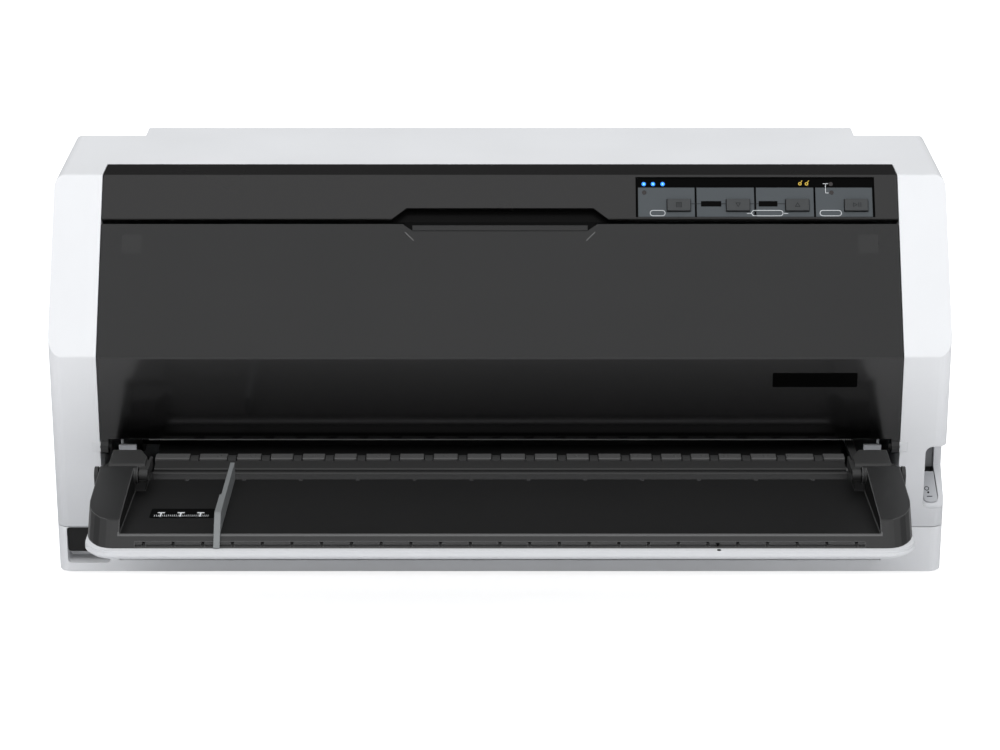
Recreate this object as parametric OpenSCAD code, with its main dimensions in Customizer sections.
// Flatbed dot matrix printer: a two-part case with a forward-opening smoked cover, a lifting front
// paper tray with a sliding edge guide, and the carriage, platen and feed train inside.
// Millimetres. X runs to the right, Y to the back, Z up. The origin is under the middle of the
// whole printer, tray included.

/* [Case] */
// Width over the two cheeks
body_w = 483; // [460:1:500]
// Depth of the case without the tray
case_d = 226.5; // [220:0.5:240]
// How far the tray's lip stands in front of the case
tray_reach = 143.5; // [138:0.5:150]
// Height of the flat top
case_h = 210; // [205:1:215]
// Wall of the mouldings
wall = 2.5; // [2:0.1:3]
// Height of the seam between the upper and lower case
seam_h = 28.5; // [26:0.5:31]
// Open line between the two halves at the seam
seam_gap = 0.4; // [0.3:0.1:0.8]
// Width of each cheek beside the cover
cheek_w = 26; // [22:0.5:28]
// Height of the fold between the upright front and the slanted front
fold_h = 126.5; // [122:0.5:130]
// Depth of the slanted front, from the fold to the flat top
slope_run = 59.5; // [56:0.5:62]
// Radius of the upright front corners
corner_r = 7; // [6:0.5:12]
// Radius along the top edges at the sides
shoulder_r = 5.5; // [5:0.5:12]
// Radius of the upright rear corners
rear_corner_r = 14; // [10:1:18]
// Distance from the rear wall to the back edge of the shoulders
shoulder_back = 85; // [80:1:90]
// Distance from the rear wall to the back edge of the middle hood
hood_back = 68; // [64:1:74]
// Width of the middle hood
hood_w = 402; // [396:2:410]
// Height where the shoulders' rear slope meets the rear wall
shoulder_rear_h = 108; // [100:1:116]
// Height where the hood's rear slope meets the rear wall
hood_rear_h = 130; // [124:1:136]
// Depth of the inner wall of each cheek
cheek_wall_d = 101; // [90:1:110]

/* [Feet and base] */
// Height of the rubber feet under the base
foot_h = 2; // [1.5:0.1:3]
// Radius of a foot
foot_r = 9; // [7:0.5:11]
// Distance of a foot's axis from the side of the case
foot_side = 30; // [24:1:40]
// Distance of a foot's axis from the front and the rear of the case
foot_end = 24; // [20:1:30]
// Half width of the panel opening in the base's front
panel_half = 208; // [204:0.5:210]
// Height of the sill under the panel opening
sill_h = 8.5; // [8:0.5:12]
// Width of the card recess in the left of the base's front
recess_w = 23; // [20:0.5:24]
// Height of the card recess
recess_h = 21; // [18:0.5:22]
// Distance of the card recess from the case's side
recess_side = 5.5; // [3:0.5:7.5]
// Height of the card recess's floor
recess_floor = 7; // [6:0.5:8]
// Depth of the card recess
recess_d = 12; // [8:1:16]

/* [Bezel and control panel] */
// Depth of the bezel's strip on the flat top
bezel_top_d = 21.5; // [19:0.5:24]
// Length of the bezel down the slanted front
bezel_len = 25.4; // [24:0.2:27]
// Open joint between neighbouring mouldings
joint_gap = 0.4; // [0.3:0.1:0.6]
// Left edge of the control panel
panel_x = 73.7; // [70:0.1:78]
// Width of the control panel
panel_w = 128.7; // [126:0.1:130]
// Distance from the top break to the control panel
panel_top = 1.5; // [1:0.1:2.5]
// Length of the control panel down the slope
panel_len = 22.3; // [21.5:0.1:23]
// How far the control panel's face lies below the bezel's face
panel_sink = 0.6; // [0.4:0.1:1]
// Thickness of the control panel plate
panel_t = 1.8; // [1.5:0.1:2.2]
// Height of the black strip across the top of the control panel
panel_strip = 5.7; // [5:0.1:6.5]
// Width of a push button
button_w = 12.5; // [11.5:0.1:13.5]
// Length of a push button down the slope
button_len = 6.5; // [6:0.1:7]
// How far a button stands out of the panel
button_out = 1.5; // [1.2:0.1:2]
// Travel of a button
button_travel = 1; // [0.6:0.1:1.1]
// Distance of the buttons' middle line from the top break
button_s = 17.3; // [17:0.1:17.6]
// Radius of an indicator light
led_r = 1.2; // [1:0.1:1.5]
// Half width of the grip recess at its top
grip_top_half = 50.5; // [46:0.5:54]
// Half width of the grip recess at the cover's edge
grip_low_half = 60; // [56:0.5:64]
// Length of the grip recess up the bezel
grip_len = 6.4; // [5:0.2:8]
// Depth of the grip recess
grip_d = 6; // [4:0.5:7]

/* [Cover] */
// Distance from the top break to the cover's upper edge
cover_top = 28; // [27.5:0.1:30]
// Height of the cover's lower edge
cover_low_h = 79.5; // [79:0.1:82]
// Thickness of the cover
cover_t = 2.2; // [1.8:0.1:2.6]
// Depth of the cover's side flanges
cover_flange = 9; // [6:0.5:12]
// Length of the notch in the cover's upper edge
cover_notch = 4; // [3:0.5:6]
// Height of the cover's pivot
cover_pivot_h = 75; // [74.5:0.1:76]
// Distance of the cover's pivot behind the front plane
cover_pivot_in = 1.5; // [1:0.1:2]
// Radius of the cover's hinge ears
cover_ear_r = 4; // [3.5:0.1:4.4]
// Thickness of a hinge ear
cover_ear_t = 4.2; // [4:0.1:6]
// Radius of the hinge pins of the cover and the tray
pin_r = 2; // [1.6:0.1:2.4]
// Radial running clearance of the hinge pins
pin_clear = 0.05; // [0.02:0.01:0.1]
// Pitch of the tear-off teeth
tooth_pitch = 1.44; // [1.2:0.02:2]
// Height of a tear-off tooth
tooth_h = 1.3; // [1:0.1:1.6]
// Left end of the toothed edge
tooth_left = -189; // [-195:1:-180]
// Right end of the toothed edge
tooth_right = 198; // [180:1:200]

/* [Paper path] */
// Height of the paper's path through the printer
path_h = 75.6; // [75:0.1:76]
// Half width of the paper's path
path_half = 184; // [180:0.5:186]
// Distance of the feed rollers' axis in front of the case
feed_out = 14.5; // [13:0.5:15.5]
// Radius of the front feed rollers
feed_r = 9; // [8:0.5:10]
// Width of a front feed roller
feed_w = 4.3; // [4:0.1:6]
// Clearance beside a feed roller in its slot
feed_slot = 0.5; // [0.3:0.1:0.7]
// Radius of the studs on the guide bar
stud_r = 1.3; // [1:0.1:1.5]
// Radius of the feed roller shaft
feed_shaft_r = 3; // [2.5:0.1:3.5]

/* [Tray] */
// Width of the tray
tray_w = 413; // [408:0.5:414]
// Height of the white lip's lower edge
lip_low_h = 72.9; // [72:0.1:74]
// Height of the white lip's upper edge
lip_top_h = 76; // [75.8:0.1:77]
// Thickness of the lip's rim
lip_t = 3.5; // [3:0.1:4.5]
// Plan radius of the tray's front corners
tray_corner = 15; // [12:0.5:18]
// Thickness of the tray's floor
tray_floor_t = 3.2; // [3:0.1:3.4]
// Width of the side blocks of the tray
block_w = 17.8; // [16:0.2:20]
// Distance of the tray's hinge axis in front of the case
tray_pivot_out = 66.5; // [64:0.5:68]
// Height of the tray's hinge axis
tray_pivot_h = 85.5; // [84:0.1:87]
// Radius of the tray's hinge barrels
barrel_r = 4.5; // [4:0.1:5]
// Radius of the hinge's inner ears
inner_ear_r = 3.2; // [3:0.1:3.5]
// Thickness of the outer rails
rail_t = 2; // [1.8:0.1:3]
// Height of the side blocks at the front
block_front_h = 86.8; // [85:0.1:88]
// Lean of the tray's front face from upright
front_lean = 45; // [35:1:50]
// How far the tray's floor runs behind the hinge axis
tray_tail = 19.2; // [17:0.1:20]
// Height of the rounded edge where the floor meets the front face
ledge_h = 81.2; // [80:0.1:82]
// Pitch of the stops along the front face
pocket_pitch = 14.7; // [14.4:0.1:15]
// Number of stops on each side of the middle
pocket_count = 12; // [10:1:12]
// Pitch of the breaks in the tail's edge
break_pitch = 29.75; // [29:0.05:30]
// Place of the edge guide's paper face
guide_x = -138.5; // [-145:0.1:-130]
// Height of the edge guide over the floor
fin_h = 9.3; // [7:0.1:10]
// Thickness of the edge guide's fin
fin_t = 2.3; // [2:0.1:2.6]
// Thickness of the edge guide's grip
grip_t = 3.2; // [3:0.1:4]

/* [Power switch] */
// Width of the notch for the power switch
notch_w = 12; // [11:0.5:14]
// Height of the notch's lower edge
notch_low = 39; // [37:0.5:41]
// Height of the notch's upper edge
notch_high = 75; // [72:0.5:78]
// Depth of the notch behind the front plane
notch_d = 22; // [18:0.5:26]
// Height where the notch's back turns forward into its sloping floor
notch_knee = 56; // [53:0.5:59]
// Width of the wall left beside the switch
switch_rim = 4; // [3.5:0.1:4.5]
// Height of the rocker's upper edge
rocker_top = 60.5; // [58:0.5:63]

/* [Mechanism] */
// Thickness of the sheet steel chassis
steel_t = 1.5; // [1.2:0.1:2]
// Distance between the chassis sides' outer faces
chassis_w = 412; // [408:1:416]
// Height of the chassis floor
chassis_low = 34; // [33:0.5:36]
// Height of the chassis sides' upper edge
chassis_top = 126; // [120:1:130]
// Place of the chassis' front edge
chassis_front = -28; // [-30:1:-26]
// Place of the chassis' rear edge
chassis_rear = 122; // [118:1:126]
// Place of the platen's axis
platen_y = 30; // [28:0.5:34]
// Height of the platen's top
platen_top = 74; // [73.5:0.1:74.5]
// Radius of the platen
platen_r = 12; // [10:0.5:14]
// Radius of the platen shaft
platen_shaft_r = 4; // [3.5:0.1:5]
// Radial clearance of turning shafts
shaft_clear = 0.05; // [0.02:0.01:0.1]
// Place of the carriage's main rod
rod_y = 64; // [60:1:68]
// Height of the carriage's main rod
rod_h = 106; // [102:1:110]
// Radius of the carriage rods
rod_r = 5; // [4:0.5:6]
// Distance between the axes of the two carriage rods
rod_gap = 68; // [64:1:72]
// Width of the carriage
carriage_w = 58; // [50:1:64]
// Half of the carriage's whole travel
carriage_travel = 130; // [110:1:132]
// Distance of the belt pulleys from the middle
pulley_x = 180; // [176:1:182]
// Place of the belt pulleys' axes
pulley_y = 96; // [94:0.5:98]
// Radius of the belt pulleys
pulley_r = 7; // [6:0.5:8]
// Height of the carriage belt's lower edge
belt_h = 98; // [96:0.5:100]
// Width of the carriage belt
belt_w = 6; // [5:0.5:8]
// Thickness of the belts
belt_t = 1.2; // [1:0.1:1.5]
// Tooth size of the gears, as their module
gear_m = 1; // [0.9:0.05:1.1]
// Number of teeth of the platen gear
gear_teeth = 30; // [24:1:34]
// Number of teeth of the motor pinion
pinion_teeth = 12; // [12:1:16]
// Thickness of the platen gear
gear_t = 4; // [3:0.5:5]
// Half length of the ribbon cartridge
ribbon_half = 176; // [168:1:180]
// Height of the inked ribbon over the platen
ribbon_gap = 2.8; // [2.5:0.1:3.2]

/* [Rear] */
// Half width of the rear cover
lid_half = 188; // [180:1:190]
// Height of the rear paper slot's lower edge
slot_low = 70; // [68:1:72]
// Height of the rear paper slot's upper edge
slot_high = 92; // [88:1:96]
// Place of the mains inlet
inlet_x = 178; // [170:1:182]
// Height of the mains inlet's middle
inlet_h = 56; // [52:1:58]
// Width of the mains inlet's socket
inlet_w = 24.4; // [24:0.1:25]
// Height of the mains inlet's socket
inlet_hh = 16.4; // [16:0.1:17]

/* [Hidden] */
$fn = 48;
eps = 0.01;
total_d = case_d + tray_reach;
rear_y = total_d / 2;
front_y = rear_y - case_d;
lip_y = -total_d / 2;
half = body_w / 2;
inner_half = half - cheek_w;
break_y = front_y + slope_run;
slope_h = case_h - fold_h;
slope_a = atan2(slope_h, slope_run);
slope_dir = [cos(slope_a), sin(slope_a)];
shoulder_y = rear_y - shoulder_back;
hood_y = rear_y - hood_back;
cover_half = inner_half - joint_gap;
button_x = [96.7, 128.7, 160.8, 192.6];
led_places = [[77.9, 5], [82.9, 5], [88.1, 5], [78.1, 9.9], [179.2, 5], [179.5, 9.9]];
cover_pivot_y = front_y + cover_pivot_in;
tray_half = tray_w / 2;
block_in = tray_half - block_w;
tray_pivot_y = front_y - tray_pivot_out;
feed_y = front_y - feed_out;
feed_top = path_h - 0.3;
feed_z = feed_top - feed_r;
ear_in = block_in - 7;
platen_z = platen_top - platen_r;
ear_out = inner_half - 0.6;
bracket_in = tray_half + joint_gap + 0.2;
rail_out = bracket_in + rail_t;
notch_back = front_y + notch_d;
switch_wall = wall + 0.8;
switch_y = notch_back - 6.6;
switch_z = notch_low + 5;
switch_in = half - notch_w - 0.6;
switch_out = half - wall - 0.3;
chassis_half = chassis_w / 2;
gear_dist = gear_m * (gear_teeth + pinion_teeth) / 2;
pinion_a = -20;
pinion_y = platen_y + gear_dist * cos(pinion_a);
pinion_z = platen_z + gear_dist * sin(pinion_a);
drive_pulley_r = 6;
pulley_in = path_half + 3.5;
pulley_out = pulley_in + 5;
feed_places = [for (x = [-163, -143, -125, -108, -91, -74, -56, -38, -20, -2, 16, 33, 50, 67, 83.6, 99.5,
    114.4, 131.5, 150.2, 170.1]) if (abs(x) + feed_w < path_half - 6) x];
stud_places = [for (x = [-150, -132, -99, -65, -29, 7, 41, 72.3, 94.1, 108.7, 120.7, 142, 154.9])
    if (abs(x) + stud_r < path_half - 6) x];
tail_y = tray_pivot_y + tray_tail;
lip_in = lip_y + lip_t;
face_low = lip_top_h - 0.3;
ledge_y = lip_in + (ledge_h - face_low) * tan(front_lean);
floor_a = atan2(ledge_h - path_h, tail_y - ledge_y);
rod2_y = rod_y - rod_gap;
lid_pin_y = hood_y + 8;
lid_pin_z = case_h - 17;
hood_slope = [rear_y - hood_y, hood_rear_h - case_h];

// ---- helpers ----

function unit(v) = v / norm(v);

// Points of an arc about m from direction a0 through d degrees
function arc(m, r, a0, d, n = 6) = [for (i = [0:n]) m + r * [cos(a0 + d * i / n), sin(a0 + d * i / n)]];

// The corner b between a and c, rounded with radius r
function corner(a, b, c, r) =
    let (u = unit(a - b), w = unit(c - b), k = acos(u * w) / 2)
    let (m = b + unit(u + w) * r / sin(k), s = b + u * r / tan(k) - m, e = b + w * r / tan(k) - m)
    let (a0 = atan2(s.y, s.x), d = (atan2(e.y, e.x) - a0 + 540) % 360 - 180)
    r > 0 ? arc(m, r, a0, d) : [b];

function xy(p) = [p.x, p.y];

// A polygon's points [x, y, radius] with every corner rounded
function rounded(p) = let (n = len(p))
    [for (i = [0:n - 1]) each corner(xy(p[(i + n - 1) % n]), xy(p[i]), xy(p[(i + 1) % n]), p[i][2])];

// A convex outline moved inwards by d
function inset(p, d) = let (n = len(p)) [for (i = [0:n - 1])
    let (b = xy(p[i]), u = unit(xy(p[(i + n - 1) % n]) - b), w = unit(xy(p[(i + 1) % n]) - b))
    let (q = b + unit(u + w) * d / sin(acos(u * w) / 2)) [q.x, q.y, max(0, p[i][2] - d)]];

// Extrudes a profile drawn in Y and Z along X, from x0 to x1
module along_x(x0, x1) { translate([x0, 0, 0]) rotate([90, 0, 90]) linear_extrude(x1 - x0) children(); }

// Extrudes an outline drawn in X and Z along Y, from y0 to y1
module along_y(y0, y1) { translate([0, y1, 0]) rotate([90, 0, 0]) linear_extrude(y1 - y0) children(); }

// A box between two corners
module block(a, b) { translate(a) cube(b - a); }

// A rod along X
module rod_x(x0, x1, y, z, r) { translate([x0, y, z]) rotate([0, 90, 0]) cylinder(h = x1 - x0, r = r); }

module both_sides() { children(); mirror([1, 0, 0]) children(); }

// Frame on the slanted front: x across, y up the slope from the top break, z outwards
module on_slope() { translate([0, break_y, case_h]) rotate([slope_a, 0, 0]) children(); }

// A rounded rectangle of size w by d about the origin
module pad(w, d, r) {
    square([w - 2 * r, d], center = true);
    square([w, d - 2 * r], center = true);
    for (x = [-1, 1], y = [-1, 1]) translate([x * (w / 2 - r), y * (d / 2 - r)]) circle(r);
}

// The closed loop of a belt of thickness t round two pulleys of radius r
module belt_loop(length, r, t) {
    difference() {
        union() {
            circle(r + t);
            translate([length, 0]) circle(r + t);
            translate([0, -r - t]) square([length, 2 * (r + t)]);
        }
        circle(r);
        translate([length, 0]) circle(r);
        translate([0, -r]) square([length, 2 * r]);
    }
}

// ---- case ----

function side_outline(back, rear_h) = [[front_y, 0, 0], [front_y, fold_h, 2.5], [break_y, case_h, 2.5],
    [back, case_h, 5], [rear_y, rear_h, 5], [rear_y, 0, 0]];

module plan_outline(d) {
    polygon(rounded(inset([[-half, front_y, corner_r], [half, front_y, corner_r],
        [half, rear_y, rear_corner_r], [-half, rear_y, rear_corner_r]], d)));
}

// The whole case as one solid, d inside its outer faces
module case_solid(d) {
    intersection() {
        union() {
            along_x(-half + d, half - d) polygon(rounded(inset(side_outline(shoulder_y, shoulder_rear_h), d)));
            along_x(-hood_w / 2 + d, hood_w / 2 - d) polygon(rounded(inset(side_outline(hood_y, hood_rear_h), d)));
        }
        linear_extrude(case_h + 1) plan_outline(d);
        along_y(front_y - 1, rear_y + 1) polygon(rounded(inset([[-half, -20, 0], [half, -20, 0],
            [half, case_h, shoulder_r], [-half, case_h, shoulder_r]], d)));
    }
}

module lower_case() {
    top = seam_h - seam_gap;
    color("lightgray") difference() {
        union() {
            difference() {
                intersection() {
                    case_solid(0);
                    translate([0, 0, foot_h]) linear_extrude(top - foot_h) plan_outline(0);
                }
                translate([0, 0, foot_h + wall]) linear_extrude(top) plan_outline(wall);
            }
            // walls of the card recess
            block([-half + recess_side - wall, front_y + wall, foot_h + wall],
                [-half + recess_side + recess_w + wall, front_y + recess_d + wall, top]);
            // tongue that locates the upper case
            difference() {
                translate([0, 0, foot_h + wall]) linear_extrude(seam_h + 3 - foot_h - wall) plan_outline(wall + 0.3);
                translate([0, 0, foot_h]) linear_extrude(seam_h + 4) plan_outline(wall + 2);
                block([-inner_half - wall, front_y - 1, top], [inner_half + wall, front_y + 20, seam_h + 4]);
                block([-half, rear_y - 20, top], [half, rear_y, seam_h + 4]);
            }
            // posts under the chassis
            for (x = [-160, 0, 160], y = [chassis_front + 12, chassis_rear - 12])
                translate([x, y, foot_h + 1]) cylinder(h = chassis_low - foot_h - 1, r = 4.5);
        }
        // opening for the front panel
        block([-panel_half, front_y - 1, sill_h], [panel_half, front_y + wall + 2, seam_h + 1]);
        // card recess
        along_y(front_y - 1, front_y + recess_d)
            translate([-half + recess_side + recess_w / 2, recess_floor + recess_h / 2]) pad(recess_w, recess_h, 2);
        // cooling slots in the floor
        for (x = [-120:8:-40]) block([x, 40, 0], [x + 3, 90, foot_h + wall + 1]);
    }
}

module feet() {
    color("dimgray") for (x = [-1, 1], y = [front_y + foot_end, rear_y - foot_end])
        translate([x * (half - foot_side), y, 0]) {
            cylinder(h = foot_h, r1 = foot_r - 1, r2 = foot_r);
        }
}

// Cut for the power switch at the front corner of the right cheek
// Profile of the room in front of the notch's back and sloping floor, moved backwards by d
module notch_side(d) {
    polygon([[front_y - 6, notch_low - 1], [front_y + 2 + d, notch_low - 1], [notch_back + d, notch_knee],
        [notch_back + d, notch_high + 1], [front_y - 6, notch_high + 1]]);
}

// The notch's front outline, grown by g
module notch_front(g) {
    translate([half - notch_w / 2 + 10, (notch_low + notch_high) / 2])
        pad(notch_w + 20 + 2 * g, notch_high - notch_low + 2 * g, 4 + g);
}

// Outline of the window behind the rocker, d inside
module switch_window(d) {
    x0 = half - notch_w + 0.9 + d;
    x1 = half - switch_rim - d;
    z0 = notch_low + 1.3 + d;
    z1 = notch_high - 1.5 - d;
    polygon(rounded([[x0, z0, 2.6 - d], [half - 2.4 - d, z0, 3 - d], [x1, notch_knee - 1, 3 + d], [x1, z1, 2 - d],
        [x0, z1, 2.6 - d]]));
}

module notch_cut() {
    intersection() {
        along_y(front_y - 5, notch_back + 1) notch_front(0);
        along_x(half - notch_w - 1, half + 1) notch_side(0);
    }
}

module upper_case() {
    color("whitesmoke") difference() {
        union() {
            difference() {
                case_solid(0);
                case_solid(wall);
                // open front between the cheeks
                block([-inner_half, front_y - 1, 0], [inner_half, break_y + bezel_top_d, case_h + 1]);
            }
            // inner walls of the cheeks
            both_sides() intersection() {
                case_solid(wall / 2);
                block([inner_half, front_y, seam_h], [inner_half + wall, front_y + cheek_wall_d, case_h]);
            }
            // ledge that the bezel's rear edge rests on
            block([-inner_half - 1, break_y + bezel_top_d - 6, case_h - 2 * wall - 2],
                [inner_half + 1, break_y + bezel_top_d + 3, case_h - wall - 0.1]);
            // walls of the switch notch
            intersection() {
                case_solid(wall / 2);
                along_y(front_y + 1, notch_back + switch_wall) notch_front(wall);
                along_x(half - notch_w - wall - 1, half + 1) notch_side(switch_wall);
            }
            // bearings of the rear cover
            both_sides() intersection() {
                case_solid(wall / 2);
                block([lid_half + joint_gap, lid_pin_y - 6, lid_pin_z - 5],
                    [lid_half + joint_gap + 5, lid_pin_y + 6, case_h]);
            }
        }
        block([-half - 1, front_y - 1, -1], [half + 1, rear_y + 1, seam_h]);
        notch_cut();
        along_y(front_y - 1, notch_back + switch_wall + 1) switch_window(0);
        // opening under the rear cover
        block([-lid_half - joint_gap, hood_y + 0.9, slot_high], [lid_half + joint_gap, rear_y + 1, case_h + 1]);
        // rear paper slot
        block([-lid_half - joint_gap, rear_y - wall - 1, slot_low], [lid_half + joint_gap, rear_y + 1, slot_high + 1]);
        // sockets of the cover's hinge pins and bearings of the rear cover's pins
        both_sides() rod_x(inner_half - 1, inner_half + wall + 1, cover_pivot_y, cover_pivot_h, pin_r);
        both_sides() rod_x(lid_half, lid_half + 8, lid_pin_y, lid_pin_z, pin_r + pin_clear);
        // mains inlet and data ports
        along_y(rear_y - wall - 1, rear_y + 1) translate([inlet_x, inlet_h]) pad(inlet_w + 4.6, inlet_hh + 4.6, 2);
        block([-150, rear_y - wall - 1, 36], [-86, rear_y + 1, 52]);
        block([-70, rear_y - wall - 1, 38], [-56, rear_y + 1, 51]);
        // cooling slots in the right side
        for (i = [0:11]) block([half - wall - 1, 60 + 8 * i, 70], [half + 1, 63 + 8 * i, 100]);
    }
}

// ---- bezel and control panel ----

// The panel's outline on the slope, grown by g
module panel_outline(g) {
    translate([panel_x - g, -panel_top - panel_len - g]) square([panel_w + 2 * g, panel_len + 2 * g]);
}

// The grip recess on the slope, grown by g
module grip_outline(g) {
    polygon([[-grip_top_half - g, -bezel_len + grip_len + g], [grip_top_half + g, -bezel_len + grip_len + g],
        [grip_low_half + g, -bezel_len - 1], [-grip_low_half - g, -bezel_len - 1]]);
}

module bezel() {
    low = [break_y, case_h] - bezel_len * slope_dir;
    side = inner_half - joint_gap;
    rim = [slope_dir.y, -slope_dir.x] * 8;
    color("#3d3c3c") difference() {
        union() {
            along_x(-side, side) polygon(concat(
                [[break_y + bezel_top_d - joint_gap, case_h - wall], [break_y + bezel_top_d - joint_gap, case_h]],
                corner([break_y + 20, case_h], [break_y, case_h], low, 1.5),
                corner([break_y, case_h], low, low + rim, 1),
                [low + rim, low + rim + slope_dir * wall, low + slope_dir * wall + rim * wall / 8,
                    [break_y + wall * 0.5, case_h - wall]]));
            // bosses round the control panel and the grip recess
            on_slope() translate([0, 0, -wall - 4]) linear_extrude(wall + 2.5) panel_outline(2);
            on_slope() translate([0, 0, -grip_d - 1.5]) linear_extrude(grip_d + 1) intersection() {
                grip_outline(2);
                translate([-100, -bezel_len + 0.02]) square([200, 30]);
            }
        }
        on_slope() translate([0, 0, -panel_sink - panel_t - 0.05]) linear_extrude(10) panel_outline(0.25);
        on_slope() translate([0, 0, -wall - 5]) linear_extrude(10) panel_outline(-2);
        on_slope() translate([0, 0, -grip_d]) linear_extrude(grip_d + 10) grip_outline(0);
    }
}

module panel_plate() {
    color("#55595d") on_slope() translate([0, 0, -panel_sink - panel_t]) difference() {
        linear_extrude(panel_t) panel_outline(0);
        for (x = button_x) translate([x - button_w / 2 - 0.3, -button_s - button_len / 2 - 0.3, -1])
            cube([button_w + 0.6, button_len + 0.6, panel_t + 2]);
        for (p = led_places) translate([p.x, -p.y, -1]) cylinder(h = panel_t + 2, r = led_r);
        // grooves between the four fields
        for (i = [1:3]) translate([panel_x + i * panel_w / 4 - 0.3, -panel_top - panel_len - 1, panel_t - 0.4])
            cube([0.6, panel_len - panel_strip + 1, 1]);
    }
}

panel_back = panel_sink + panel_t + 3.6;

module panel_board() {
    color("#2f5d3a") on_slope() {
        translate([0, 0, -panel_back - 1.6]) linear_extrude(1.6) panel_outline(-2.4);
        for (x = button_x) translate([x - 3, -button_s - 3, -panel_back]) cube([6, 6, 1.4]);
    }
}

module push_button(i) {
    low = panel_back - 1.4 - button_travel - 0.15;
    color("#5d6165") on_slope() translate([button_x[i], -button_s, 0]) {
        translate([-button_w / 2, -button_len / 2, -panel_sink - panel_t - 0.2])
            cube([button_w, button_len, panel_t + 0.2 + button_out]);
        translate([-button_w / 2 - 0.9, -button_len / 2 - 0.9, -low + 0.3])
            cube([button_w + 1.8, button_len + 1.8, low - 0.3 - panel_sink - panel_t - 0.15]);
        translate([0, 0, -low]) cylinder(h = 1, r = 1.8);
    }
}

module button_1() { push_button(0); }
module button_2() { push_button(1); }
module button_3() { push_button(2); }
module button_4() { push_button(3); }

module leds() {
    color("#7fd0ff") on_slope() for (p = led_places) translate([p.x, -p.y, -panel_back])
        cylinder(h = panel_back - panel_sink, r = led_r - 0.05);
}

// ---- cover ----

cover_top_p = [break_y, case_h] - cover_top * slope_dir;

// Side profile of the cover's skin, from depth a to depth b under its face
module cover_skin(a, b) {
    n = [-slope_dir.y, slope_dir.x];
    t = cover_top_p;
    fold = function(d) [front_y + d, fold_h - d * tan((90 - slope_a) / 2)];
    polygon(concat([[front_y + a, cover_low_h]], corner([front_y + a, 0], fold(a), t - n * a, max(0.5, 4 - a)),
        [t - n * a, t - n * b], corner(t - n * b, fold(b), [front_y + b, 0], max(0.5, 4 - b)),
        [[front_y + b, cover_low_h]]));
}

module printer_cover() {
    color("#303234", 0.75) difference() {
        union() {
            along_x(-cover_half, cover_half) cover_skin(0, cover_t);
            both_sides() along_x(cover_half - 2, cover_half) cover_skin(0, cover_flange);
            both_sides() along_x(ear_out - cover_ear_t, ear_out) {
                translate([cover_pivot_y, cover_pivot_h]) circle(cover_ear_r);
                translate([front_y, cover_pivot_h]) square([cover_ear_r, cover_low_h - cover_pivot_h + 6]);
            }
        }
        both_sides() rod_x(ear_out - cover_ear_t - 1, ear_out + 1, cover_pivot_y, cover_pivot_h,
            pin_r + pin_clear);
        // notch for the fingertips
        on_slope() translate([0, 0, -cover_t - 1]) linear_extrude(cover_t + 2)
            polygon([[-grip_low_half + 6, -cover_top + 1], [grip_low_half - 6, -cover_top + 1],
                [grip_low_half - 13, -cover_top - cover_notch], [-grip_low_half + 13, -cover_top - cover_notch]]);
    }
}

module tear_edge() {
    teeth = floor((tooth_right - tooth_left) / tooth_pitch);
    color("#4a4c4e") along_y(front_y + cover_t, front_y + cover_t + 1) polygon(concat(
        [[tooth_left, cover_low_h + 7], [tooth_left, cover_low_h + tooth_h]],
        [for (i = [0:teeth - 1]) each [[tooth_left + (i + 0.5) * tooth_pitch, cover_low_h],
            [tooth_left + (i + 1) * tooth_pitch, cover_low_h + tooth_h]]],
        [[tooth_left + teeth * tooth_pitch, cover_low_h + 7]]));
}

module cover_latches() {
    color("#46484a") on_slope() both_sides()
        translate([inner_half - 14, -cover_top - 12, -cover_t - 7]) {
            translate([0, 0, 4]) cube([9, 10, 3]);
            cube([9, 2, 4.5]);
        }
}

module cover_pins() {
    color("silver") both_sides()
        rod_x(ear_out - cover_ear_t - 1.5, inner_half + wall - 0.2, cover_pivot_y, cover_pivot_h, pin_r);
}

// ---- paper path in front ----

guide_front = front_y - 38;
guide_back = platen_y - 17;

// Top profile of the guide plate: front rib, flat bar, guide bar, groove and plate under the cover
guide_profile = concat([[guide_front, path_h - 6]],
    corner([guide_front, 0], [guide_front, path_h - 0.5], [guide_front + 5, path_h - 0.5], 0.9),
    corner([guide_front, path_h - 0.5], [guide_front + 2.6, path_h - 0.5], [guide_front + 2.6, 0], 0.5),
    [[guide_front + 2.6, path_h - 3.4], [front_y - 32, path_h - 3.4]],
    corner([front_y - 32, 0], [front_y - 32, path_h - 0.4], [front_y, path_h - 0.4], 0.8),
    [[front_y - 20.8, path_h - 0.4], [front_y - 20.8, path_h - 2.6], [front_y - 16.6, path_h - 2.6]],
    corner([front_y - 16.6, 0], [front_y - 16.6, path_h - 0.6], [front_y, path_h - 0.6], 0.8),
    [[front_y - 10, path_h - 0.6], [front_y - 10, path_h - 4], [front_y - 3, path_h - 4],
        [front_y + 4, path_h - 1.2], [guide_back, path_h - 1.2], [guide_back, path_h - 3.4],
        [front_y + 7, path_h - 3.4], [front_y, path_h - 5.6], [front_y - 31, path_h - 5.6],
        [front_y - 33.5, path_h - 5.4], [guide_front + 1.6, path_h - 5.4], [guide_front + 1.6, path_h - 6]]);

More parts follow.
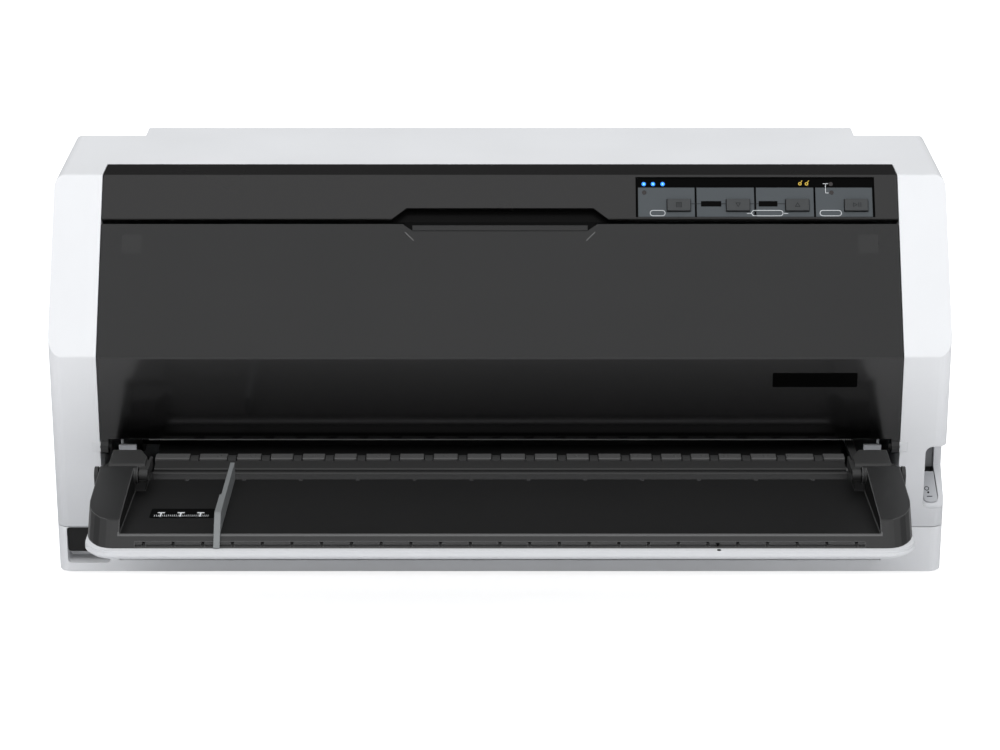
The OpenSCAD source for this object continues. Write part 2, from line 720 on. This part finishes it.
module front_guide() {
    low = path_h - 9.6;
    arm_front = tray_pivot_y + barrel_r + 0.7;
    arm_back = front_y - 37;
    color("#2b2c2d") difference() {
        union() {
            along_x(-path_half, path_half) polygon(guide_profile);
            for (x = stud_places) translate([x, front_y - 13, path_h - 3]) cylinder(h = 2.7, r = stud_r);
            // arms at both ends
            both_sides() along_x(path_half - 0.01, path_half + 19) polygon(concat([[arm_front, low]],
                corner([arm_front, low], [arm_front + 1, tray_pivot_h + 3], [arm_back, tray_pivot_h + 3], 3),
                corner([arm_front, tray_pivot_h + 3], [arm_back - 1, tray_pivot_h + 3], [arm_back + 14, path_h], 4),
                [[arm_back + 11, path_h - 1], [arm_back + 13, low]]));
            // inner ears of the tray's hinge
            both_sides() along_x(ear_in, block_in - joint_gap - 2) {
                translate([tray_pivot_y, tray_pivot_h]) circle(inner_ear_r);
                translate([tray_pivot_y, tray_pivot_h - 2]) square([18, 4]);
            }
            both_sides() block([ear_in, arm_front + 8, tray_pivot_h - 4], [path_half + 1, arm_front + 16, tray_pivot_h + 2]);
            // outer rails that reach forward from the case
            both_sides() along_x(bracket_in, rail_out) {
                translate([tray_pivot_y, tray_pivot_h]) circle(barrel_r);
                polygon([[tray_pivot_y - 3, low], [tray_pivot_y - 4.4, tray_pivot_h - 1],
                    [tray_pivot_y + 4.4, tray_pivot_h + 1], [front_y - 8, path_h - 6], [front_y + 3, path_h - 7],
                    [front_y + 3, low - 4], [front_y - 20, low - 4]]);
            }
            // flange that joins arms and rails
            both_sides() block([path_half + 18, arm_front, low], [bracket_in + 1, front_y + 1.7, low + 4]);
        }
        both_sides() rod_x(ear_in - 1, rail_out + 1, tray_pivot_y, tray_pivot_h, pin_r);
        // taper of the arms' rear ends
        both_sides() translate([0, 0, path_h - 5]) linear_extrude(40) polygon([[path_half - 1, arm_back - 14],
            [path_half + 7.5, arm_back + 6], [path_half + 7.5, arm_back + 20], [path_half - 1, arm_back + 20]]);
        // windows for the feed rollers
        for (x = feed_places) {
            rod_x(x - feed_w / 2 - feed_slot, x + feed_w / 2 + feed_slot, feed_y, feed_z, feed_r + feed_slot);
            block([x - feed_w / 2 - feed_slot, feed_y - 5, path_h - 5], [x + feed_w / 2 + feed_slot, feed_y + 5, path_h]);
        }
    }
    // bearings of the feed roller shaft
    color("#2b2c2d") both_sides() difference() {
        block([path_half - 6, feed_y - 6, feed_z - 6], [path_half - 2, feed_y + 6, path_h - 5.5]);
        rod_x(path_half - 7, path_half - 1, feed_y, feed_z, feed_shaft_r + shaft_clear);
    }
}

module feed_shaft() {
    color("silver") rod_x(-path_half + 1, pulley_out + 1, feed_y, feed_z, feed_shaft_r);
    color("dimgray") difference() {
        rod_x(pulley_in, pulley_out, feed_y, feed_z, drive_pulley_r);
        rod_x(pulley_in - 1, pulley_out + 1, feed_y, feed_z, feed_shaft_r);
    }
}

module feed_rollers() {
    color("#1a1a1a") for (x = feed_places) difference() {
        rod_x(x - feed_w / 2, x + feed_w / 2, feed_y, feed_z, feed_r);
        rod_x(x - feed_w, x + feed_w, feed_y, feed_z, feed_shaft_r);
    }
}

module front_panel() {
    color("lightgray") along_y(front_y + 2, front_y + 2 + wall - 0.3) polygon([
        [-panel_half + 0.4, sill_h + 0.3], [panel_half - 0.4, sill_h + 0.3], [panel_half - 0.4, seam_h + 0.4],
        [inner_half - 0.4, seam_h + 0.4], [inner_half - 0.4, path_h - 19], [-inner_half + 0.4, path_h - 19],
        [-inner_half + 0.4, seam_h + 0.4], [-panel_half + 0.4, seam_h + 0.4]]);
    // tabs beside the arms
    color("lightgray") both_sides() block([path_half + 12.2, front_y + 2, path_h - 20],
        [bracket_in - 1.4, front_y + 2 + wall - 0.3, path_h - 0.5]);
}

module recess_cover() {
    color("#2a2b2c") difference() {
        along_y(front_y + 2, front_y + recess_d - 0.2)
            translate([-half + recess_side + recess_w / 2, recess_floor + recess_h / 2 + 2.9])
                pad(recess_w - 0.4, recess_h - 6.4, 1.5);
        // hollow back
        block([-half + recess_side + 2, front_y + 4, recess_floor + 8], [-half + recess_side + recess_w - 2,
            front_y + recess_d + 1, recess_floor + recess_h - 2]);
    }
}

// ---- tray ----

// Plan of the tray's outline, d inside its edge, back to the hinge barrels
module tray_outline(d) {
    r = tray_corner;
    back = tray_pivot_y - 0.5;
    polygon(rounded([[-tray_half + d, lip_y + d, r - d], [tray_half - d, lip_y + d, r - d],
        [tray_half - d, back, 0], [-tray_half + d, back, 0]]));
}

// Profile of the tray's floor, from its front face back to the tail
module floor_profile() {
    low = path_h - tray_floor_t;
    polygon(concat([[lip_in, low], [lip_in, face_low]],
        corner([lip_in, face_low], [ledge_y, ledge_h], [tail_y, path_h], 1.2),
        corner([ledge_y, ledge_h], [tail_y, path_h], [tail_y, low], 1.2), [[tail_y, low]]));
}

// Frame on the tray's front face: x across, y up the face from the lip, z outwards
module on_face() { translate([0, lip_in, face_low]) rotate([90 - front_lean, 0, 0]) children(); }

// Everything inside the tray's outline, whose front leans back over the lip
module tray_form() {
    translate([0, 0, path_h - tray_floor_t]) linear_extrude(lip_top_h - path_h + tray_floor_t) tray_outline(lip_t + 0.1);
    translate([0, lip_in - 0.02, lip_top_h]) rotate([-front_lean, 0, 0]) translate([0, 0, -60])
        linear_extrude(140) polygon(rounded([[-tray_half + 0.2, 0, tray_corner], [tray_half - 0.2, 0, tray_corner],
            [tray_half - 0.2, 120, 0], [-tray_half + 0.2, 120, 0]]));
}

module tray() {
    low = path_h - tray_floor_t;
    block_top = tray_pivot_h + barrel_r;
    brow_y = lip_in + (block_front_h - face_low) * tan(front_lean);
    color("#2d2e2f") difference() {
        union() {
            intersection() {
                union() {
                    along_x(-tray_half, tray_half) intersection() {
                        floor_profile();
                        translate([lip_y, 0]) square([tray_pivot_y - 0.5 - lip_y, 100]);
                    }
                    both_sides() along_x(block_in, tray_half) polygon(concat([[tray_pivot_y, low], [lip_in, low],
                        [lip_in, face_low]], corner([lip_in, face_low], [brow_y, block_front_h],
                        [tray_pivot_y, block_top], 3), [[tray_pivot_y, block_top]]));
                }
                difference() {
                    tray_form();
                    // room for the lip's rim
                    difference() {
                        translate([0, 0, low - 1]) linear_extrude(lip_top_h - low + 1) tray_outline(-5);
                        translate([0, 0, low - 2]) linear_extrude(lip_top_h - low + 3) tray_outline(lip_t + 0.1);
                    }
                    block([-tray_half - 1, tray_pivot_y - 0.6, low - 1], [tray_half + 1, tray_pivot_y + 80, lip_top_h + 4]);
                }
            }
            along_x(-path_half + 0.4, path_half - 0.4) intersection() {
                floor_profile();
                translate([tray_pivot_y - 1, 0]) square([80, 100]);
            }
            both_sides() rod_x(block_in - 2, tray_half - 0.1, tray_pivot_y, tray_pivot_h, barrel_r);
        }
        both_sides() rod_x(block_in - 3, tray_half + 1, tray_pivot_y, tray_pivot_h, pin_r + pin_clear);
        // channel with stops across the front face
        on_face() block([-block_in + 8, 2.5, -0.5], [block_in - 8, 3.9, 2]);
        on_face() block([-block_in + 8, 1.1, -1.6], [block_in - 8, 2.6, 2]);
        on_face() for (i = [-pocket_count:pocket_count])
            block([i * pocket_pitch - 0.8, 1.1, -2.4], [i * pocket_pitch + 0.8, 3.9, 2]);
        // breaks in the tail's edge
        for (i = [-6:5]) block([break_pitch * (i + 0.5) - 0.6, tail_y - 3, path_h - 0.8],
            [break_pitch * (i + 0.5) + 0.6, tail_y + 1, path_h + 1]);
    }
}

module tray_lip() {
    plate = path_h - tray_floor_t - 1.5;
    color("whitesmoke") {
        difference() {
            union() {
                translate([0, 0, lip_low_h]) linear_extrude(lip_top_h - lip_low_h - 1) tray_outline(0);
                translate([0, 0, lip_top_h - 1.01]) linear_extrude(1.01) tray_outline(0.4);
                translate([0, 0, plate]) linear_extrude(lip_low_h - plate + 0.01) tray_outline(lip_t - 1.2);
            }
            translate([0, 0, path_h - tray_floor_t]) linear_extrude(30) tray_outline(lip_t);
        }
    }
}

module tray_pins() {
    color("silver") both_sides() rod_x(ear_in + 0.2, rail_out - 0.2, tray_pivot_y, tray_pivot_h, pin_r);
}

module edge_guide() {
    floor_z = function(y) path_h + 0.3 + (tail_y - y) * tan(floor_a);
    low = function(y) [y, floor_z(y)];
    top = function(y) [y, floor_z(y) + fin_h];
    back = tail_y - 1.3;
    foot = lip_top_h + 0.3;
    foot_y = lip_in + (foot - face_low) * tan(front_lean) - 0.45;
    grip_front = ledge_y + 6;
    grip_back = grip_front + 29;
    color("#787d80") {
        along_x(guide_x - fin_t, guide_x) polygon([low(back), top(back), top(grip_back - 4), low(grip_back - 4)]);
        // grip, and the nose that hangs over the ledge
        along_x(guide_x - grip_t, guide_x) polygon(concat([low(grip_back + 3)],
            corner(low(grip_back + 3), top(grip_back), top(grip_front), 2),
            corner(top(grip_back), top(grip_front), [foot_y - 1, foot], 3),
            [[foot_y - 1, foot], [foot_y, foot], low(ledge_y - 0.3)]));
    }
}

// ---- power switch ----

module switch_housing() {
    color("dimgray") difference() {
        along_x(switch_in, switch_out) difference() {
            translate([front_y, notch_low + 1.4]) square([notch_d + 14, notch_high - notch_low - 2.4]);
            notch_side(switch_wall + 0.1);
        }
        along_x(switch_in + 0.9, switch_out - 0.9)
            translate([front_y, notch_low + 2.3]) square([notch_d + 12.8, notch_high - notch_low - 4.2]);
        // room for the rocker's wider lower end
        along_x(switch_out - 1, switch_out + 1) notch_side(switch_wall + 2.6);
        rod_x(switch_in - 1, switch_out + 1, switch_y, switch_z, 1.05);
    }
}

module power_rocker() {
    color("lightgray") {
        intersection() {
            along_y(front_y, notch_back + 6) switch_window(0.4);
            along_x(half - notch_w, half) difference() {
                translate([front_y, notch_low]) square([notch_d + 5, rocker_top - notch_low]);
                notch_side(0.3);
            }
            along_x(half - notch_w, half) notch_side(2.8);
        }
        // arm that carries the rocker's pin
        along_x(half - notch_w + 2.6, half - switch_rim - 1.8) polygon(concat(
            arc([switch_y, switch_z], 2.4, -90, 90), [[notch_back - 4.6, notch_knee - 3.2],
            [notch_back - 12, notch_knee - 9.8]]));
        rod_x(switch_in + 0.2, switch_out - 0.2, switch_y, switch_z, 1);
    }
}

// ---- chassis and feed train ----

module chassis() {
    color("lightsteelblue") difference() {
        union() {
            block([-chassis_half, chassis_front, chassis_low], [chassis_half, chassis_rear, chassis_low + steel_t]);
            both_sides() along_x(chassis_half - steel_t, chassis_half) polygon([[chassis_front, chassis_low],
                [chassis_rear, chassis_low], [chassis_rear, chassis_top - 20], [chassis_rear - 20, chassis_top],
                [rod2_y - 12, chassis_top], [chassis_front, platen_z + 20]]);
        }
        both_sides() rod_x(chassis_half - 3, chassis_half + 1, platen_y, platen_z, platen_shaft_r + shaft_clear);
        both_sides() rod_x(chassis_half - 3, chassis_half + 1, rod_y, rod_h, rod_r);
        both_sides() rod_x(chassis_half - 3, chassis_half + 1, rod2_y, rod_h, rod_r);
        rod_x(-chassis_half - 1, -chassis_half + 3, pinion_y, pinion_z, 3.5);
        // cut-outs that lighten the sides and the floor
        both_sides() rod_x(chassis_half - 3, chassis_half + 1, chassis_rear - 26, chassis_low + 30, 14);
        for (x = [-150, -75, 0, 75, 150]) translate([x, 85, 0]) cylinder(h = 90, r = 12);
    }
}

module platen() {
    color("#1c1c1c") difference() {
        rod_x(-path_half + 2, path_half - 2, platen_y, platen_z, platen_r);
        rod_x(-path_half, path_half, platen_y, platen_z, platen_shaft_r);
    }
}

module platen_shaft() {
    color("silver") rod_x(-chassis_half - gear_t - 1, chassis_half + 3, platen_y, platen_z, platen_shaft_r);
}

// Outline of a spur gear of n teeth, the first tooth pointing along x
module gear_outline(n) {
    rp = gear_m * n / 2;
    step = 360 / n;
    polygon([for (i = [0:n - 1]) each [
        for (k = [[-0.29, -1.2], [-0.2, 0], [-0.09, 0.85], [0.09, 0.85], [0.2, 0], [0.29, -1.2]])
            (rp + gear_m * k[1]) * [cos(step * (i + k[0])), sin(step * (i + k[0]))]]]);
}

module platen_gear() {
    x0 = -chassis_half - 0.5 - gear_t;
    color("ivory") translate([x0, platen_y, platen_z]) rotate([90, 0, 90]) difference() {
        linear_extrude(gear_t) rotate(pinion_a) gear_outline(gear_teeth);
        translate([0, 0, -1]) cylinder(h = gear_t + 2, r = platen_shaft_r);
        for (a = [0:60:300]) rotate(a) translate([9, 0, -1]) cylinder(h = gear_t + 2, r = 2.2);
    }
}

module motor_pinion() {
    x0 = -chassis_half - 0.5 - gear_t;
    color("goldenrod") translate([x0, pinion_y, pinion_z]) rotate([90, 0, 90]) {
        linear_extrude(gear_t) rotate(pinion_a + 180 + 180 / pinion_teeth) gear_outline(pinion_teeth);
        cylinder(h = gear_t + 6, r = 2);
    }
}

module feed_motor() {
    r = 17;
    x0 = -chassis_half + steel_t + 0.2;
    color("dimgray") translate([x0, pinion_y, pinion_z]) rotate([90, 0, 90]) difference() {
        union() {
            cylinder(h = chassis_half - steel_t - path_half + 1.5, r = r - 4);
            intersection() {
                cylinder(h = 1.5, r = r);
                rotate(pinion_a + 90) translate([-r, -r + 6, 0]) cube([2 * r, 2 * r - 12, 2]);
            }
        }
        translate([0, 0, -1]) cylinder(h = 8, r = 2.3);
    }
}

module platen_pulley() {
    color("dimgray") difference() {
        rod_x(pulley_in, pulley_out, platen_y, platen_z, drive_pulley_r);
        rod_x(pulley_in - 1, pulley_out + 1, platen_y, platen_z, platen_shaft_r);
    }
}

module feed_belt() {
    run = [platen_y - feed_y, platen_z - feed_z];
    color("#151515") translate([pulley_in + 0.5, feed_y, feed_z]) rotate([90, 0, 90])
        rotate(atan2(run.y, run.x)) linear_extrude(pulley_out - pulley_in - 1)
            belt_loop(norm(run), drive_pulley_r + 0.15, belt_t);
}

// ---- carriage ----

module carriage() {
    front = rod2_y - 9;
    back = rod_y + 9;
    color("#3a3b3d") difference() {
        union() {
            block([-carriage_w / 2, rod_y - 9, rod_h - 9], [carriage_w / 2, back, rod_h + 9]);
            block([-carriage_w / 2 + 5, front + 4, rod_h - 3], [carriage_w / 2 - 5, rod_y, rod_h + 3]);
            block([-carriage_w / 2 + 5, front + 2, rod_h - 8], [carriage_w / 2 - 5, front + 16, rod_h + 8]);
            // belt clamp
            block([-8, rod_y, rod_h - 9], [8, pulley_y - pulley_r - belt_t - 0.3, rod_h - 4]);
            block([-8, back - 1, rod_h - 9], [8, pulley_y - pulley_r - belt_t - 0.3, belt_h + belt_w]);
        }
        rod_x(-carriage_w, carriage_w, rod_y, rod_h, rod_r + shaft_clear);
        rod_x(-carriage_w, carriage_w, rod2_y, rod_h, rod_r + shaft_clear);
        // seat of the print head
        translate([0, platen_y, rod_h - 20]) cylinder(h = 60, r = 17.2);
    }
}

module print_head() {
    nose = platen_top + ribbon_gap + 0.8;
    color("#8a8d90") translate([0, platen_y, 0]) {
        difference() {
            translate([0, 0, rod_h - 12]) cylinder(h = 34, r = 17);
            // cooling fins
            for (i = [0:5]) translate([0, 0, rod_h + 2 + 3.2 * i]) difference() {
                cylinder(h = 1.7, r = 20);
                cylinder(h = 1.7, r = 10);
            }
        }
        translate([-8, -6, nose + 9]) cube([16, 12, rod_h - 12 - nose - 9]);
        translate([0, 0, nose]) cylinder(h = 9.01, r1 = 3.5, r2 = 6);
        translate([-22, -4, rod_h + 3.2]) cube([44, 8, 1.8]);
    }
}

module carriage_rods() {
    color("silver") for (y = [rod_y, rod2_y]) rod_x(-chassis_half - 2, chassis_half + 2, y, rod_h, rod_r);
}

module carriage_belt() {
    color("#151515") translate([-pulley_x, pulley_y, belt_h]) linear_extrude(belt_w)
        belt_loop(2 * pulley_x, pulley_r + 0.15, belt_t);
}

module pulley() {
    difference() {
        union() {
            translate([0, 0, belt_h - 0.3]) cylinder(h = belt_w + 0.6, r = pulley_r);
            translate([0, 0, belt_h - 1.3]) cylinder(h = 1, r = pulley_r + 1.6);
            translate([0, 0, belt_h + belt_w + 0.3]) cylinder(h = 1, r = pulley_r + 1.6);
        }
        translate([0, 0, belt_h - 10]) cylinder(h = belt_w + 20, r = 2.5 + shaft_clear);
    }
}

module drive_pulley() { color("gainsboro") translate([pulley_x, pulley_y, 0]) pulley(); }

module idler_pulley() { color("gainsboro") translate([-pulley_x, pulley_y, 0]) pulley(); }

// The motor with its shaft, and the post that carries the idler pulley
module carriage_motor() {
    floor_h = chassis_low + steel_t;
    color("#303030") {
        translate([pulley_x, pulley_y, floor_h]) cylinder(h = belt_h - 4 - floor_h, r = 16);
        translate([pulley_x, pulley_y, floor_h]) cylinder(h = belt_h + belt_w + 3 - floor_h, r = 2.5);
        translate([-pulley_x, pulley_y, floor_h]) cylinder(h = belt_h - 1.6 - floor_h, r = 6);
        translate([-pulley_x, pulley_y, floor_h]) cylinder(h = belt_h + belt_w + 3 - floor_h, r = 2.5);
    }
}

// ---- ribbon ----

ribbon_back = rod2_y - 10;
ribbon_front = front_y + 10;
ribbon_low = 84;
ribbon_high = 100;
knob_x = -150;

module ribbon_cartridge() {
    y_mid = (ribbon_front + ribbon_back) / 2;
    color("#232426") difference() {
        union() {
            translate([0, y_mid, ribbon_low]) linear_extrude(ribbon_high - ribbon_low)
                pad(2 * ribbon_half, ribbon_back - ribbon_front, 4);
            // arms that lead the ribbon over the platen
            both_sides() block([ribbon_half - 8, y_mid, ribbon_low], [ribbon_half + 10, platen_y + 12, ribbon_low + 8]);
            both_sides() block([ribbon_half + 6, platen_y - 10, platen_top + 1.5],
                [ribbon_half + 10, platen_y + 10, ribbon_low + 1]);
            // hooks that rest on the chassis' sides
            both_sides() block([ribbon_half, ribbon_front + 8, ribbon_high - 5],
                [chassis_half - steel_t - 0.3, ribbon_back - 3, ribbon_high]);
        }
        translate([knob_x, y_mid, ribbon_high - 4]) cylinder(h = 10, r = 2 + shaft_clear);
        // recessed field in the lid
        translate([20, y_mid, ribbon_high - 0.8]) linear_extrude(2) pad(220, 12, 2);
    }
}

module ribbon_band() {
    color("#101014") block([-ribbon_half - 5.8, platen_y - 6.5, platen_top + ribbon_gap],
        [ribbon_half + 5.8, platen_y + 6.5, platen_top + ribbon_gap + 0.3]);
}

module ribbon_knob() {
    y_mid = (ribbon_front + ribbon_back) / 2;
    color("#4c78a8") translate([knob_x, y_mid, 0]) {
        translate([0, 0, ribbon_high - 3.8]) cylinder(h = 5, r = 2);
        translate([0, 0, ribbon_high + 0.3]) difference() {
            cylinder(h = 7, r = 7);
            for (a = [0:30:330]) rotate(a) translate([7.4, 0, -1]) cylinder(h = 9, r = 0.9);
        }
    }
}

// ---- electronics and rear ----

module main_board() {
    color("#2f5d3a") {
        block([-170, 124, 12], [60, 178, 13.6]);
        block([-60, 136, 13.6], [-36, 160, 16]);
        block([0, 140, 13.6], [16, 150, 30]);
    }
    color("#2f5d3a") for (x = [-160, 50], y = [128, 174]) translate([x, y, foot_h + wall]) cylinder(h = 7.6, r = 3);
}

module power_supply() {
    color("silver") difference() {
        block([92, 124, foot_h + wall], [226, 172, 44]);
        for (i = [0:11]) block([100 + 8 * i, 130, 40], [103 + 8 * i, 166, 50]);
    }
}

module rear_cover() {
    slope = unit(hood_slope);
    n = [-slope.y, slope.x];
    top = [hood_y, case_h] + slope * 5;
    knee = [rear_y, hood_rear_h];
    color("whitesmoke") {
        difference() {
            union() {
                along_x(-lid_half, lid_half) polygon(concat([top - n * 0], corner(top, knee, [rear_y, 0], 5),
                    [[rear_y, slot_high + 1], [rear_y - wall, slot_high + 1]],
                    corner([rear_y - wall, 0], knee - [wall, wall * 0.62], top - n * wall, 3), [top - n * wall]));
                both_sides() along_x(lid_half - 6, lid_half) {
                    translate([lid_pin_y, lid_pin_z]) circle(4);
                    polygon([[lid_pin_y - 3.5, lid_pin_z + 2], top + slope * 2 - n * 0.5, top - n * 0.5 + slope * 18,
                        [lid_pin_y + 3, lid_pin_z - 2.6]]);
                }
                both_sides() rod_x(lid_half - 1, lid_half + 5, lid_pin_y, lid_pin_z, pin_r);
                // stiffening ribs inside
                for (x = [-150, -75, 0, 75, 150]) along_x(x - 1, x + 1) polygon([top + slope * 8 - n * 1,
                    knee - [1, 1], [rear_y - 1, slot_high + 4], [rear_y - 6, slot_high + 4],
                    knee - [8, 0], top + slope * 8 - n * 6]);
            }
            // row of vents
            for (i = [-15:15]) along_x(8 * i - 1.5, 8 * i + 1.5)
                polygon([knee - slope * 24 + n * 9, knee - slope * 44 + n * 9,
                    knee - slope * 44 - n * 9, knee - slope * 24 - n * 9]);
        }
    }
}

module mains_inlet() {
    d = 20;
    color("#1b1b1b") {
        difference() {
            union() {
                along_y(rear_y - d, rear_y - 0.4) translate([inlet_x, inlet_h]) pad(inlet_w + 4, inlet_hh + 4, 1.8);
            }
            along_y(rear_y - d + 2.5, rear_y + 1) translate([inlet_x, inlet_h]) polygon([
                [-inlet_w / 2, -inlet_hh / 2], [inlet_w / 2, -inlet_hh / 2], [inlet_w / 2, inlet_hh / 2 - 5],
                [inlet_w / 2 - 5, inlet_hh / 2], [-inlet_w / 2 + 5, inlet_hh / 2], [-inlet_w / 2, inlet_hh / 2 - 5]]);
        }
        // contact blades
        for (p = [[-7, -2], [0, 2], [7, -2]]) along_y(rear_y - d + 2, rear_y - d + 6)
            translate([inlet_x + p.x, inlet_h + p.y]) square([2, 4], center = true);
    }
}

module data_ports() {
    color("silver") {
        difference() {
            block([-149.6, rear_y - 16, 36.4], [-86.4, rear_y - 0.4, 51.6]);
            block([-144, rear_y - 8, 40], [-92, rear_y + 1, 48]);
        }
        block([-140, rear_y - 9, 42.5], [-96, rear_y - 2, 45.5]);
        difference() {
            block([-69.6, rear_y - 16, 38.4], [-56.4, rear_y - 0.4, 50.6]);
            block([-67.6, rear_y - 10, 40.4], [-58.4, rear_y + 1, 48.6]);
        }
        // posts that carry the ports on the board
        block([-140, rear_y - 15, 13.6], [-96, rear_y - 9, 37]);
        block([-68, rear_y - 15, 13.6], [-58, rear_y - 9, 39]);
    }
}

lower_case();
feet();
upper_case();
bezel();
panel_plate();
panel_board();
button_1();
button_2();
button_3();
button_4();
leds();
printer_cover();
tear_edge();
cover_latches();
cover_pins();
front_guide();
front_panel();
recess_cover();
feed_shaft();
feed_rollers();
tray();
tray_lip();
tray_pins();
edge_guide();
switch_housing();
power_rocker();
chassis();
platen();
platen_shaft();
platen_gear();
platen_pulley();
feed_belt();
feed_motor();
motor_pinion();
carriage();
print_head();
carriage_rods();
carriage_belt();
drive_pulley();
idler_pulley();
carriage_motor();
ribbon_cartridge();
ribbon_band();
ribbon_knob();
main_board();
power_supply();
rear_cover();
mains_inlet();
data_ports();
